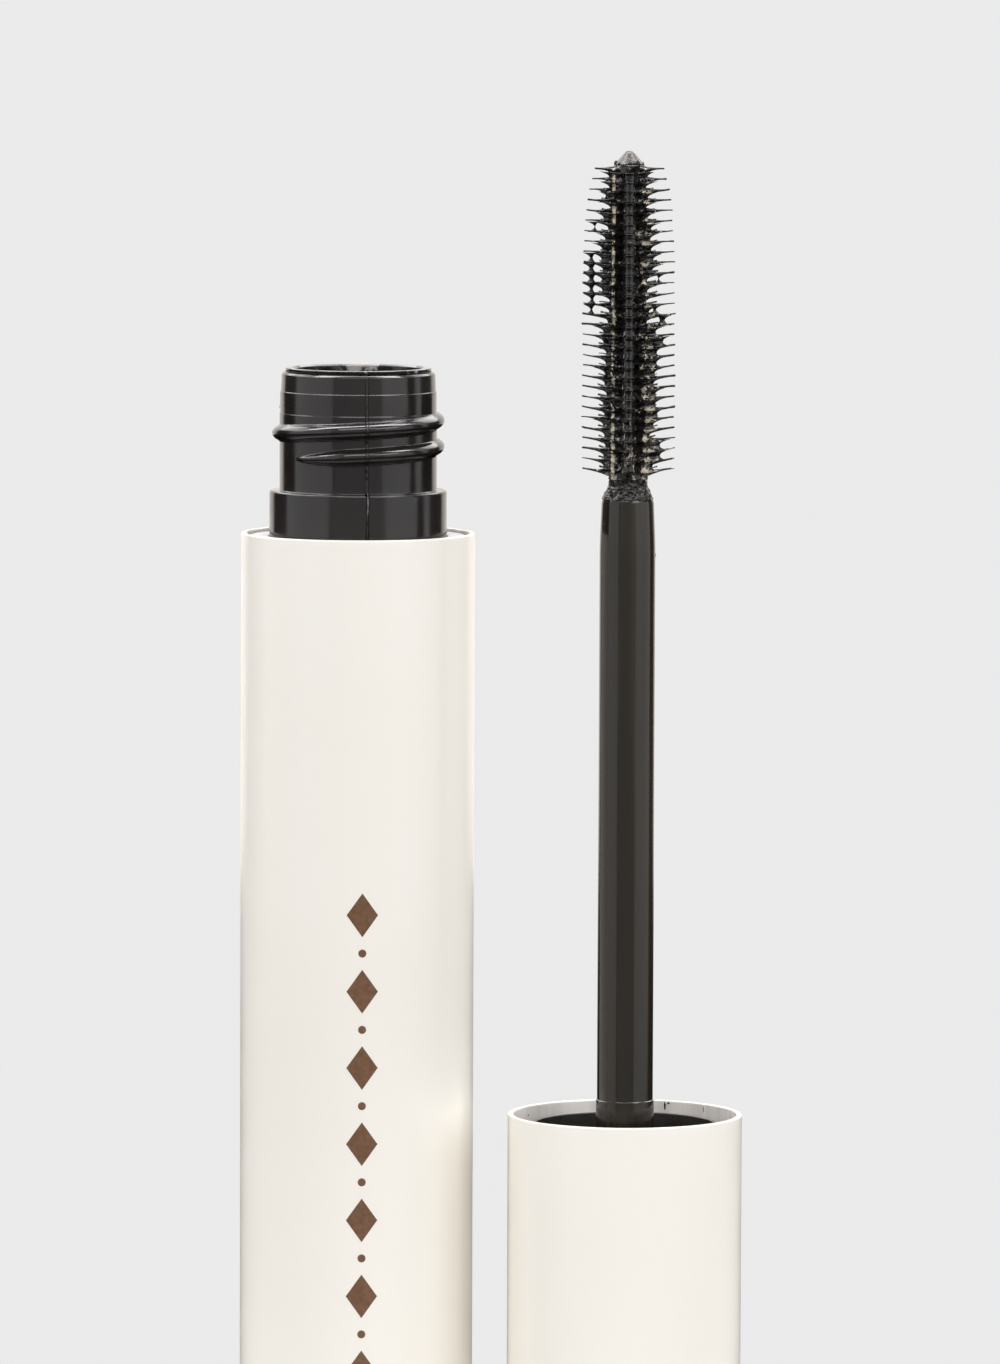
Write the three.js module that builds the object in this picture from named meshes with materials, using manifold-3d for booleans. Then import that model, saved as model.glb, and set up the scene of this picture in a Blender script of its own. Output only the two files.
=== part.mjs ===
// A mascara standing open: the bottle, and beside it the cap upside down on its closed end with the wand
// and its moulded brush pointing up. Millimetres, +Z up, origin at the centre of the bottle's base.
import * as THREE from "three";
import { mergeVertices } from "three/addons/utils/BufferGeometryUtils.js";
import Module from "manifold-3d";

const wasm = await Module();
wasm.setup();

// Driving dimensions.
const TUBE_RADIUS = 9.35; // outside of the bottle's sleeve and of the cap's shell
const SHEET = 0.45; // wall of the drawn aluminium
const END_THICKNESS = 0.8; // closed end of each drawn shell
const EDGE_RADIUS = 0.8; // rounded edge of the closed end
const RIM_BREAK = 0.12; // broken edge of each rim
const SLEEVE_HEIGHT = 90;
const CAP_HEIGHT = 43.9;
const APPLICATOR_PLACE = [21.5, -5, 0]; // axis of the cap and wand, beside the bottle
const GAP = 0.05; // clearance between nested or stacked pieces
const BORE = TUBE_RADIUS - SHEET;
const LINING_RADIUS = BORE - GAP; // whatever is centred in the sleeve or the shell

// The vial's neck, by height above the sleeve's rim.
const COLLAR_RADIUS = 7.1;
const COLLAR_HEIGHT = 3.4;
const NECK_RADIUS = 6.3;
const LIP_RADIUS = 6.1; // plain band above the thread
const LEDGE_HEIGHT = 11.3;
const LIP_HEIGHT = 12.85;
const LIP_CHAMFER = 0.3;
const NECK_BORE = 5.6;
const MOUTH_HEIGHT = 13.2; // top of the wiper's flange

// The screw thread, right-handed, one start.
const THREAD_PITCH = 2.08;
const THREAD_SWEEP = 680; // degrees of the ridge on the neck
const THREAD_START = -140; // degrees from +X, where the ridge begins
const THREAD_BASE = 6.1; // height of its beginning above the sleeve's rim
const THREAD_RISE = 0.6; // from the wall to the crest
const THREAD_SECTION = { root: 0.55, crest: 0.15, bury: 0.3 }; // half widths, and depth hidden in the wall
const THREAD_LEAD_IN = 0.12; // share of the sweep over which each end sinks into the wall
const THREAD_STEPS_PER_TURN = 24;

// Inside the bottle.
const LABEL = { radius: 6.4, thickness: 0.12 };
const SEAT = { web: 6.6, webThickness: 1.2, top: 12, hole: 2, skirt: 1 };
const VIAL = { radius: 7.75, bore: 6.6, floor: 1.5, corner: 0.8, shoulder: 86.4, flange: 1.6 };
const VIAL_THROAT = 84.5; // height where the bore narrows to the neck's
const RING = { thickness: 1.7, radius: 8.68, below: 0.25 };
const WIPER = { radius: 5.2, flange: 5.85, cone: 92, orifice: 2.3, orificeTop: 85, tip: 83.5, lip: 0.4 };
const FILL = { level: 76, tunnel: 3.9, tunnelFloor: 12 };

// Inside the cap, by height above its closed end.
const WEIGHT = { radius: 8.5, top: 9.5, hole: 1.5, chamfer: 0.5 };
const CORE = {
  rimBelow: 0.8, // below the shell's rim
  radius: 7.55,
  flangeTop: 36,
  flange: 1.4,
  skirtRadius: 8,
  skirtBore: 7.1,
  foot: 9.6,
  floor: 1.6,
  socketRadius: 3.2,
  socketFoot: 20,
};
const COLLAR_BORE = 7.2; // mouth of the core, which clears the vial's collar
const COLLAR_BORE_DEPTH = 4;
const THREAD_BORE = 6.98;
const CORE_THREAD_RISE = 0.56;
const CORE_THREAD_SECTION = { root: 0.42, crest: 0.15, bury: 0.15 };
const CORE_THREAD_SWEEP = 540;
const CORE_RIBS = 8;
const CORE_RIB_WIDTH = 1;
const LINER = { thickness: 1, radius: 6.85, hole: 2.6 };

// The wand, by height above the cap's rim.
const STEM = {
  radius: 2.225,
  rootRadius: 2.325,
  rootTop: 1.1,
  plugRadius: 1.8,
  barbRadius: 2.15,
  barb: 1.3,
  taper: 45.5,
  neckTop: 49.2,
  neckRadius: 1.93,
  shoulder: 49.8,
  shoulderRadius: 1.55,
  socketRadius: 1.05,
  socketDepth: 7.5,
};
const PIN = { radius: 0.95, shankRadius: 1.5, shankTop: 50.7, tipBase: 75.85, tipRadius: 1, tip: 76.85 };
const BRISTLES = {
  rows: 30,
  columns: 8,
  pitch: 0.8207,
  lowest: 51.35,
  reach: 3.72,
  shorterBy: 0.97, // at the top row, fading downwards
  fade: 3.2, // rows over which it fades
  rootRadius: 0.3,
  bury: 0.15,
};
const BRUSH_BODY = { bottom: 1.45, top: 1.28, bore: 1.02, aboveRows: 0.6 };

const ROUND = 40; // facets round the large turned parts
const SLIM = 24; // facets round the wand
const WELD = 1e-3;

const lacquer = { color: 0xf0ebe2, roughness: 0.3, metalness: 0.1 };
const blackGloss = { color: 0x17120f, roughness: 0.2, metalness: 0 };
const blackSatin = { color: 0x1d1613, roughness: 0.35, metalness: 0 };
const rubber = { color: 0x1a1715, roughness: 0.8, metalness: 0 };
const paste = { color: 0x120f0e, roughness: 0.3, metalness: 0 };
const steel = { color: 0x8f9294, roughness: 0.4, metalness: 0.9 };
const paleGrey = { color: 0xd9d7d2, roughness: 0.5, metalness: 0 };
const paper = { color: 0xf4f2ee, roughness: 0.85, metalness: 0 };

const model = new THREE.Group();
const bottle = new THREE.Group();
const applicator = new THREE.Group();
applicator.position.set(...APPLICATOR_PLACE);
model.add(bottle, applicator);

function addPiece(group, name, geometry, finish) {
  const mesh = new THREE.Mesh(geometry, new THREE.MeshStandardMaterial(finish));
  mesh.name = name;
  group.add(mesh);
}

// A profile in the half plane of radius and height, run anticlockwise.
function outline(...points) {
  return points.map(([radius, height]) => new THREE.Vector2(radius, height));
}

// A solid of revolution about +Z. A profile that leaves the axis closes on its own first point.
function turned(profile, facets = ROUND, phase = 0) {
  const points = [...profile];
  if (points[0].x > 0) points.push(points[0].clone());
  return new THREE.LatheGeometry(points, facets, phase).rotateX(Math.PI / 2);
}

function solidFrom(geometry) {
  const bare = new THREE.BufferGeometry();
  bare.setAttribute("position", geometry.getAttribute("position"));
  bare.setIndex(geometry.index);
  const merged = mergeVertices(bare, WELD);
  const mesh = new wasm.Mesh({
    numProp: 3,
    vertProperties: merged.getAttribute("position").array,
    triVerts: new Uint32Array(merged.index.array),
  });
  return new wasm.Manifold(mesh);
}

function geometryFrom(solid) {
  const { vertProperties, triVerts } = solid.getMesh();
  const geometry = new THREE.BufferGeometry();
  geometry.setAttribute("position", new THREE.BufferAttribute(vertProperties, 3));
  geometry.setIndex(new THREE.BufferAttribute(triVerts, 1));
  return geometry;
}

function joined(first, ...others) {
  return others.reduce((whole, other) => whole.add(solidFrom(other)), solidFrom(first));
}

// A thread ridge: a straight bar of the ridge's section, wound round +Z as a right-hand helix. Side is 1
// for a ridge that stands out of a shaft and -1 for one that stands into a bore.
// Both ends sink into the wall.
function threadRidge({ wall, side, rise, section, sweep, startAngle, startHeight }) {
  const bar = new THREE.Shape([
    new THREE.Vector2(-section.bury, -section.root),
    new THREE.Vector2(0, -section.root),
    new THREE.Vector2(rise, -section.crest),
    new THREE.Vector2(rise, section.crest),
    new THREE.Vector2(0, section.root),
    new THREE.Vector2(-section.bury, section.root),
  ]);
  const steps = Math.round((THREAD_STEPS_PER_TURN * sweep) / 360);
  const ridge = new THREE.ExtrudeGeometry(bar, { depth: 1, steps, bevelEnabled: false });
  const at = ridge.getAttribute("position");
  for (let i = 0; i < at.count; i++) {
    const along = at.getZ(i);
    const growth = THREE.MathUtils.smoothstep(Math.min(along, 1 - along), 0, THREAD_LEAD_IN);
    const sink = (section.bury / 2) * (1 - growth);
    const radius = wall + side * (Math.max(at.getX(i), 0) * growth + Math.min(at.getX(i), 0) - sink);
    const angle = THREE.MathUtils.degToRad(startAngle + sweep * along);
    const height = startHeight + (THREAD_PITCH * sweep * along) / 360 - side * at.getY(i);
    at.setXYZ(i, radius * Math.cos(angle), radius * Math.sin(angle), height);
  }
  return ridge;
}

// A drawn shell: a flat closed end with a rounded edge, a thin wall, and a rim with broken edges.
// The underside gives the points from the axis out to where the rounded edge starts.
function drawnShell(height, underside) {
  const corner = new THREE.Path();
  corner.absarc(TUBE_RADIUS - EDGE_RADIUS, EDGE_RADIUS, EDGE_RADIUS, -Math.PI / 2, 0);
  const inside = outline(
    [TUBE_RADIUS, height - RIM_BREAK],
    [TUBE_RADIUS - RIM_BREAK, height],
    [BORE + RIM_BREAK, height],
    [BORE, height - RIM_BREAK],
    [BORE, END_THICKNESS],
    [0, END_THICKNESS],
  );
  return turned([...underside, ...corner.getPoints(2), ...inside]);
}

// ---- Bottle ----

function sleeve() {
  const recess = outline(
    [0, LABEL.thickness],
    [LABEL.radius + GAP, LABEL.thickness],
    [LABEL.radius + GAP, 0],
  );
  return drawnShell(SLEEVE_HEIGHT, recess);
}

// Blank paper disc in the recess of the sleeve's closed end, flush with the resting face.
function baseLabel() {
  return turned(outline([0, 0], [LABEL.radius, 0], [LABEL.radius, LABEL.thickness], [0, LABEL.thickness]));
}

// Moulded foot with an H section, which holds the vial's lower end on the sleeve's axis.
function vialSeat() {
  const skirtBore = LINING_RADIUS - SEAT.skirt;
  return turned(
    outline(
      [SEAT.hole, SEAT.web],
      [skirtBore, SEAT.web],
      [skirtBore, END_THICKNESS + GAP],
      [LINING_RADIUS, END_THICKNESS + GAP],
      [LINING_RADIUS, SEAT.top],
      [skirtBore, SEAT.top],
      [skirtBore, SEAT.web + SEAT.webThickness],
      [SEAT.hole, SEAT.web + SEAT.webThickness],
    ),
  );
}

const vialBottom = SEAT.web + SEAT.webThickness + GAP;
const vialFloor = vialBottom + VIAL.floor;

function vial() {
  const rim = SLEEVE_HEIGHT;
  const body = turned(
    outline(
      [0, vialBottom],
      [VIAL.radius - VIAL.corner, vialBottom],
      [VIAL.radius, vialBottom + VIAL.corner],
      [VIAL.radius, VIAL.shoulder],
      [LINING_RADIUS, VIAL.shoulder],
      [LINING_RADIUS, VIAL.shoulder + VIAL.flange],
      [COLLAR_RADIUS, VIAL.shoulder + VIAL.flange],
      [COLLAR_RADIUS, rim + COLLAR_HEIGHT - LIP_CHAMFER],
      [COLLAR_RADIUS - LIP_CHAMFER, rim + COLLAR_HEIGHT],
      [NECK_RADIUS, rim + COLLAR_HEIGHT],
      [NECK_RADIUS, rim + LEDGE_HEIGHT],
      [LIP_RADIUS, rim + LEDGE_HEIGHT + GAP],
      [LIP_RADIUS, rim + LIP_HEIGHT - LIP_CHAMFER],
      [LIP_RADIUS - LIP_CHAMFER, rim + LIP_HEIGHT],
      [NECK_BORE, rim + LIP_HEIGHT],
      [NECK_BORE, VIAL_THROAT],
      [VIAL.bore, VIAL_THROAT - 2],
      [VIAL.bore, vialFloor + VIAL.corner],
      [VIAL.bore - VIAL.corner, vialFloor],
      [0, vialFloor],
    ),
  );
  const thread = threadRidge({
    wall: NECK_RADIUS,
    side: 1,
    rise: THREAD_RISE,
    section: THREAD_SECTION,
    sweep: THREAD_SWEEP,
    startAngle: THREAD_START,
    startHeight: rim + THREAD_BASE,
  });
  return geometryFrom(joined(body, thread));
}

// Pale ring that closes the space between the sleeve's rim and the vial's collar, just below the rim.
function shoulderRing() {
  const top = SLEEVE_HEIGHT - RING.below;
  const bottom = top - RING.thickness;
  return turned(
    outline(
      [COLLAR_RADIUS + GAP, bottom],
      [RING.radius, bottom],
      [RING.radius, top - RIM_BREAK],
      [RING.radius - RIM_BREAK, top],
      [COLLAR_RADIUS + GAP, top],
    ),
  );
}

// Flexible wiper: a flange on the vial's lip, a tube in the neck, and a funnel down to the wiping orifice.
function wiper() {
  const lip = SLEEVE_HEIGHT + LIP_HEIGHT + GAP;
  const mouth = SLEEVE_HEIGHT + MOUTH_HEIGHT;
  const tubeRadius = NECK_BORE - GAP;
  return turned(
    outline(
      [WIPER.orifice, WIPER.tip],
      [WIPER.orifice + WIPER.lip, WIPER.tip],
      [WIPER.orifice + WIPER.lip, WIPER.orificeTop],
      [tubeRadius, WIPER.cone],
      [tubeRadius, lip],
      [WIPER.flange, lip],
      [WIPER.flange, mouth - RIM_BREAK],
      [WIPER.flange - RIM_BREAK, mouth],
      [WIPER.radius, mouth],
      [WIPER.radius, WIPER.cone],
      [WIPER.orifice, WIPER.orificeTop],
    ),
  );
}

// The paste in the vial, with the tunnel that the brush leaves in it.
function mascaraFill() {
  const radius = VIAL.bore - GAP;
  const floor = vialFloor + GAP;
  return turned(
    outline(
      [0, floor],
      [radius - VIAL.corner, floor],
      [radius, floor + VIAL.corner],
      [radius, FILL.level],
      [FILL.tunnel, FILL.level],
      [FILL.tunnel, FILL.tunnelFloor],
      [0, FILL.tunnelFloor],
    ),
  );
}

addPiece(bottle, "bottle_sleeve", sleeve(), lacquer);
addPiece(bottle, "base_label", baseLabel(), paper);
addPiece(bottle, "vial_seat", vialSeat(), paleGrey);
addPiece(bottle, "vial", vial(), blackGloss);
addPiece(bottle, "shoulder_ring", shoulderRing(), paleGrey);
addPiece(bottle, "wiper", wiper(), rubber);
addPiece(bottle, "mascara_fill", mascaraFill(), paste);

// ---- Applicator: cap, wand and brush ----

// The core's bore ends one liner below the mouth of a screwed-down neck.
const linerTop = CAP_HEIGHT - MOUTH_HEIGHT - GAP;
const coreFloor = linerTop - LINER.thickness - GAP;

function capWeight() {
  const bottom = END_THICKNESS + GAP;
  return turned(
    outline(
      [WEIGHT.hole, bottom],
      [WEIGHT.radius - WEIGHT.chamfer, bottom],
      [WEIGHT.radius, bottom + WEIGHT.chamfer],
      [WEIGHT.radius, WEIGHT.top - WEIGHT.chamfer],
      [WEIGHT.radius - WEIGHT.chamfer, WEIGHT.top],
      [WEIGHT.hole, WEIGHT.top],
    ),
  );
}

// Inner cap: threaded bore, centring flange, ribbed skirt on the weight, and the socket that grips the stem.
function capCore() {
  const rim = CAP_HEIGHT - CORE.rimBelow;
  const socketBore = STEM.plugRadius + GAP;
  const underFloor = coreFloor - CORE.floor;
  const flangeFoot = CORE.flangeTop - CORE.flange;
  const body = turned(
    outline(
      [socketBore, CORE.socketFoot],
      [CORE.socketRadius, CORE.socketFoot],
      [CORE.socketRadius, underFloor],
      [CORE.skirtBore, underFloor],
      [CORE.skirtBore, CORE.foot],
      [CORE.skirtRadius, CORE.foot],
      [CORE.skirtRadius, flangeFoot],
      [LINING_RADIUS, flangeFoot],
      [LINING_RADIUS, CORE.flangeTop],
      [CORE.radius, CORE.flangeTop],
      [CORE.radius, rim],
      [COLLAR_BORE, rim],
      [COLLAR_BORE, CAP_HEIGHT - COLLAR_BORE_DEPTH],
      [THREAD_BORE, CAP_HEIGHT - COLLAR_BORE_DEPTH],
      [THREAD_BORE, coreFloor],
      [socketBore, coreFloor],
    ),
  );
  // Half a pitch nearer the rim than the neck's ridge when the cap is screwed down.
  const thread = threadRidge({
    wall: THREAD_BORE,
    side: -1,
    rise: CORE_THREAD_RISE,
    section: CORE_THREAD_SECTION,
    sweep: CORE_THREAD_SWEEP,
    startAngle: -THREAD_START - CORE_THREAD_SWEEP,
    startHeight: CAP_HEIGHT - THREAD_BASE + THREAD_PITCH / 2 - (THREAD_PITCH * CORE_THREAD_SWEEP) / 360,
  });
  const ribHeight = flangeFoot - CORE.foot;
  const ribDepth = LINING_RADIUS - CORE.skirtRadius + GAP;
  const ribs = [];
  for (let i = 0; i < CORE_RIBS; i++) {
    const rib = new THREE.BoxGeometry(ribDepth, CORE_RIB_WIDTH, ribHeight);
    rib.translate(LINING_RADIUS - 2 * GAP - ribDepth / 2, 0, CORE.foot + ribHeight / 2);
    ribs.push(rib.rotateZ((2 * Math.PI * i) / CORE_RIBS));
  }
  return geometryFrom(joined(body, thread, ...ribs));
}

// Sealing washer at the bottom of the core's bore, loose round the stem.
function capLiner() {
  const bottom = linerTop - LINER.thickness;
  return turned(
    outline([LINER.hole, bottom], [LINER.radius, bottom], [LINER.radius, linerTop], [LINER.hole, linerTop]),
  );
}

const rimHeight = (above) => CAP_HEIGHT + above;

// Stem: barbed plug in the core, thicker root, plain rod, tapered end with the brush's socket in it.
function wandStem() {
  const barbTop = CORE.socketFoot - GAP;
  const socketFloor = rimHeight(STEM.shoulder - STEM.socketDepth);
  return turned(
    outline(
      [0, barbTop - STEM.barb],
      [STEM.plugRadius, barbTop - STEM.barb],
      [STEM.barbRadius, barbTop],
      [STEM.plugRadius, barbTop],
      [STEM.plugRadius, coreFloor + GAP],
      [STEM.rootRadius, coreFloor + GAP],
      [STEM.rootRadius, rimHeight(STEM.rootTop)],
      [STEM.radius, rimHeight(STEM.rootTop)],
      [STEM.radius, rimHeight(STEM.taper)],
      [STEM.neckRadius, rimHeight(STEM.neckTop)],
      [STEM.shoulderRadius, rimHeight(STEM.shoulder)],
      [STEM.socketRadius, rimHeight(STEM.shoulder)],
      [STEM.socketRadius, socketFloor],
      [0, socketFloor],
    ),
    SLIM,
  );
}

// Pin of the brush: tail in the stem's socket, shank, slim pin through the bristle sleeve, conical tip.
function brushCore() {
  const bodyTop = rimHeight(BRISTLES.lowest + BRISTLES.pitch * (BRISTLES.rows - 1) + BRUSH_BODY.aboveRows);
  return turned(
    outline(
      [0, rimHeight(STEM.shoulder - STEM.socketDepth) + GAP],
      [PIN.radius, rimHeight(STEM.shoulder - STEM.socketDepth) + GAP],
      [PIN.radius, rimHeight(STEM.shoulder) + GAP],
      [PIN.shankRadius, rimHeight(STEM.shoulder) + GAP],
      [PIN.shankRadius, rimHeight(PIN.shankTop)],
      [PIN.radius, rimHeight(PIN.shankTop)],
      [PIN.radius, bodyTop + GAP],
      [PIN.tipRadius + 2 * GAP, bodyTop + GAP],
      [PIN.tipRadius, rimHeight(PIN.tipBase)],
      [0, rimHeight(PIN.tip)],
    ),
    SLIM,
  );
}

// Moulded sleeve of bristles: spikes in even rows and columns, shorter towards the tip.
function bristleSleeve() {
  const halfFacet = Math.PI / BRISTLES.columns;
  const flat = Math.cos(halfFacet); // from a corner of the sleeve's outline to the middle of a side
  const bottom = rimHeight(PIN.shankTop) + GAP;
  const top = rimHeight(BRISTLES.lowest + BRISTLES.pitch * (BRISTLES.rows - 1) + BRUSH_BODY.aboveRows);
  const body = turned(
    outline(
      [BRUSH_BODY.bore / flat, bottom],
      [BRUSH_BODY.bottom / flat, bottom],
      [BRUSH_BODY.top / flat, top],
      [BRUSH_BODY.bore / flat, top],
    ),
    BRISTLES.columns,
    halfFacet,
  );
  const spikes = [];
  for (let row = 0; row < BRISTLES.rows; row++) {
    const height = rimHeight(BRISTLES.lowest + BRISTLES.pitch * row);
    const fromTop = BRISTLES.rows - 1 - row;
    const tip = BRISTLES.reach - BRISTLES.shorterBy * Math.exp(-fromTop / BRISTLES.fade);
    const root = BRUSH_BODY.top - BRISTLES.bury;
    for (let column = 0; column < BRISTLES.columns; column++) {
      const spike = new THREE.ConeGeometry(BRISTLES.rootRadius, tip - root, 4);
      spike.rotateZ(-Math.PI / 2).translate((root + tip) / 2, 0, height);
      spikes.push(spike.rotateZ((2 * Math.PI * column) / BRISTLES.columns));
    }
  }
  return geometryFrom(joined(body, ...spikes));
}

addPiece(applicator, "cap_shell", drawnShell(CAP_HEIGHT, outline([0, 0])), lacquer);
addPiece(applicator, "cap_weight", capWeight(), steel);
addPiece(applicator, "cap_core", capCore(), blackSatin);
addPiece(applicator, "cap_liner", capLiner(), paleGrey);
addPiece(applicator, "wand_stem", wandStem(), blackSatin);
addPiece(applicator, "brush_core", brushCore(), blackSatin);
addPiece(applicator, "bristle_sleeve", bristleSleeve(), rubber);

export default model;
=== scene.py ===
"""The open mascara in its studio: the lacquered bottle, and its cap upside down beside it with the wand up.

Lengths in this script are millimetres until a mesh is written, which is in metres. Radii and heights come
from the frame's boxes where a CAD piece gives them, and the rest are named below.
"""

import math
import random

import bpy
from mathutils import Matrix, Vector, noise


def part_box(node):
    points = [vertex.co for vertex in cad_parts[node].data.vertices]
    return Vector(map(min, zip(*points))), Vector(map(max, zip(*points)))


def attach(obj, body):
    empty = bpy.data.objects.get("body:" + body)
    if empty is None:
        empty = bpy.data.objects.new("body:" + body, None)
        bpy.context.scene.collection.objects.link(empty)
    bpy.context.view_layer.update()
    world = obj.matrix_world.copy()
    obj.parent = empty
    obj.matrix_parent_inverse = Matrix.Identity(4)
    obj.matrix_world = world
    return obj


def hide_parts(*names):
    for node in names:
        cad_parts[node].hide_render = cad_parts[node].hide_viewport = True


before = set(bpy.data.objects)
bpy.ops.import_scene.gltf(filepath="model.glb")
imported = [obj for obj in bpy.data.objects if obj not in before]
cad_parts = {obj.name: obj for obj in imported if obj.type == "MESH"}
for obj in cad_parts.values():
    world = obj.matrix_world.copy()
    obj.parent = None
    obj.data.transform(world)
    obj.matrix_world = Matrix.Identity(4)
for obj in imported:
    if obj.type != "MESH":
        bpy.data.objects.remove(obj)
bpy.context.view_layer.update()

MM = 0.001
STEPS = 224  # facets round a turned piece
SLIM_STEPS = 96
ARC_POINTS = 5  # points in each rounded corner


def extent(node):
    """A turned node's axis, radius, bottom and top in millimetres."""
    low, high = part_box(node)
    axis = ((low[0] + high[0]) / 2 / MM, (low[1] + high[1]) / 2 / MM)
    return axis, (high[0] - low[0]) / 2 / MM, low[2] / MM, high[2] / MM


BOTTLE_AXIS, TUBE_RADIUS, _, SLEEVE_TOP = extent("bottle_sleeve")
CAP_AXIS, _, _, CAP_TOP = extent("cap_shell")
_, LABEL_RADIUS, _, LABEL_THICKNESS = extent("base_label")
_, LINING_RADIUS, VIAL_BOTTOM, LIP_TOP = extent("vial")
_, RING_RADIUS, RING_BOTTOM, RING_TOP = extent("shoulder_ring")
_, WIPER_FLANGE, WIPER_TIP, MOUTH_TOP = extent("wiper")
_, FILL_RADIUS, FILL_BOTTOM, FILL_TOP = extent("mascara_fill")
_, _, CORE_FOOT, CORE_TOP = extent("cap_core")
_, LINER_RADIUS, LINER_BOTTOM, LINER_TOP = extent("cap_liner")
_, STEM_ROOT_RADIUS, STEM_BOTTOM, STEM_TOP = extent("wand_stem")
_, SHANK_RADIUS, PIN_BOTTOM, BRUSH_TIP = extent("brush_core")
_, _, BRUSH_BOTTOM, BRUSH_TOP = extent("bristle_sleeve")

SHEET = 0.45
END_THICKNESS = 0.8
EDGE_RADIUS = 0.8
BORE = TUBE_RADIUS - SHEET
GAP = 0.05

# Neck of the vial.
COLLAR_RADIUS, COLLAR_HEIGHT = 7.1, 3.4
NECK_RADIUS, LEDGE_RADIUS, LIP_RADIUS, NECK_BORE = 6.3, 6.2, 6.15, 5.6
LEDGE_DROP = 1.55  # from the lip down to the ledge under it
STEP, STEP_HEIGHT = 0.04, 9.57  # faint step in the neck's wall, above the sleeve's rim
THREAD_PITCH, THREAD_SWEEP, THREAD_START, THREAD_BASE = 2.08, 680, -140, 6.1
THREAD_RISE, THREAD_HALF_WIDTH, THREAD_LEAD = 0.6, 0.66, 42  # sweep, start and lead-in are in degrees
PARTING_ANGLES = (-83, 97)

# Core of the cap.
CORE_RADIUS, COLLAR_BORE, THREAD_BORE, COLLAR_BORE_DEPTH = 7.5, 7.2, 6.98, 4.0
CORE_FLANGE_TOP, CORE_FLANGE, CORE_SKIRT, CORE_SKIRT_BORE = 36.0, 1.4, 8.0, 7.1
CORE_THREAD_RISE, CORE_THREAD_HALF_WIDTH, CORE_THREAD_SWEEP = 0.5, 0.5, 540
CORE_FLOOR, SOCKET_RADIUS, SOCKET_FOOT, PLUG_RADIUS = 1.6, 3.2, 20.0, 1.8

# Wand and brush.
STEM_RADIUS, STEM_ROOT_ABOVE_RIM, STEM_TAPER = 2.225, 1.1, 4.3
STEM_NECK_RADIUS, STEM_SHOULDER_RADIUS = 2.08, 1.65
PIN_RADIUS, BODY_BOTTOM_RADIUS, BODY_TOP_RADIUS = 0.95, 1.45, 1.2
TIP_CONE = 1.0
TIP_FOOT, TIP_BASE, TIP_SHOULDER, TIP_END = 1.16, 1.12, 0.42, 0.2  # radii going up
ROWS, COLUMNS = 30, 8
ROW_PITCH, LOWEST_ROW = 0.8207, 51.35
REACH, REACH_LESS, REACH_FADE = 3.72, 0.97, 3.2
ODD_COLUMN_REACH = 0.88  # share of the even columns' reach
BRISTLE_ROOT, BRISTLE_TIP, BRISTLE_FLARE = 0.42, 0.058, 2.5  # radii, and how fast the flare falls away
LOW_TILT, HIGH_TILT = 10, 3  # degrees that the lowest and highest bristles point up
TIP_LIFT = 0.3  # height of the bristles' ends over their row


def smoothstep(value, low, high):
    t = min(max((value - low) / (high - low), 0.0), 1.0)
    return t * t * (3 - 2 * t)


# ---- Camera ----

CAMERA_AIM = (11.4, 0.0, 78.02)
CAMERA_DISTANCE = 823.4
CAMERA_PITCH = 4.92  # degrees below level
CAMERA_ROLL = 0.22
CAMERA_FOCAL = 7.537  # focal length over the picture's long side
SENSOR = 36.0


def add_camera():
    data = bpy.data.cameras.new("camera")
    data.sensor_width = SENSOR
    data.lens = SENSOR * CAMERA_FOCAL
    data.clip_start = 0.01
    data.clip_end = 50
    camera = bpy.data.objects.new("camera", data)
    bpy.context.scene.collection.objects.link(camera)
    pitch = math.radians(CAMERA_PITCH)
    aim = Vector(CAMERA_AIM) * MM
    place = aim - Vector((0, math.cos(pitch), -math.sin(pitch))) * CAMERA_DISTANCE * MM
    turn = Matrix.Rotation(math.pi / 2 - pitch, 4, "X") @ Matrix.Rotation(math.radians(CAMERA_ROLL), 4, "Z")
    camera.matrix_world = Matrix.Translation(place) @ turn
    bpy.context.scene.camera = camera


# ---- Materials ----


def new_material(name, colour, roughness, metallic=0.0, coat=0.0, coat_roughness=0.03, ior=1.5):
    made = bpy.data.materials.new(name)
    made.use_nodes = True
    inputs = shader_inputs(made)
    inputs["Base Color"].default_value = (*colour, 1)
    inputs["Roughness"].default_value = roughness
    inputs["Metallic"].default_value = metallic
    inputs["Coat Weight"].default_value = coat
    inputs["Coat Roughness"].default_value = coat_roughness
    inputs["IOR"].default_value = ior
    return made


def shader_inputs(made):
    return made.node_tree.nodes["Principled BSDF"].inputs


def object_place(made):
    """Coordinates on the piece itself, in metres."""
    return made.node_tree.nodes.new("ShaderNodeTexCoord").outputs["Object"]


def grain(made, scale, stretch=(1, 1, 1), detail=4.0, roughness=0.55):
    """Noise in object space: scale is in features per metre, stretch squeezes it along each axis."""
    nodes, links = made.node_tree.nodes, made.node_tree.links
    squeeze = nodes.new("ShaderNodeMapping")
    squeeze.inputs["Scale"].default_value = stretch
    field = nodes.new("ShaderNodeTexNoise")
    field.inputs["Scale"].default_value = scale
    field.inputs["Detail"].default_value = detail
    field.inputs["Roughness"].default_value = roughness
    links.new(object_place(made), squeeze.inputs["Vector"])
    links.new(squeeze.outputs["Vector"], field.inputs["Vector"])
    return field.outputs["Fac"]


def feed(made, socket, name):
    """Links a node's result to the named input of the material's shader."""
    made.node_tree.links.new(socket, shader_inputs(made)[name])


def map_range(made, value, start, end, low, high):
    """Runs from low to high while value runs from start to end, and stays there."""
    spread = made.node_tree.nodes.new("ShaderNodeMapRange")
    for name, level in zip(("From Min", "From Max", "To Min", "To Max"), (start, end, low, high)):
        spread.inputs[name].default_value = level
    made.node_tree.links.new(value, spread.inputs["Value"])
    return spread.outputs["Result"]


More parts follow.
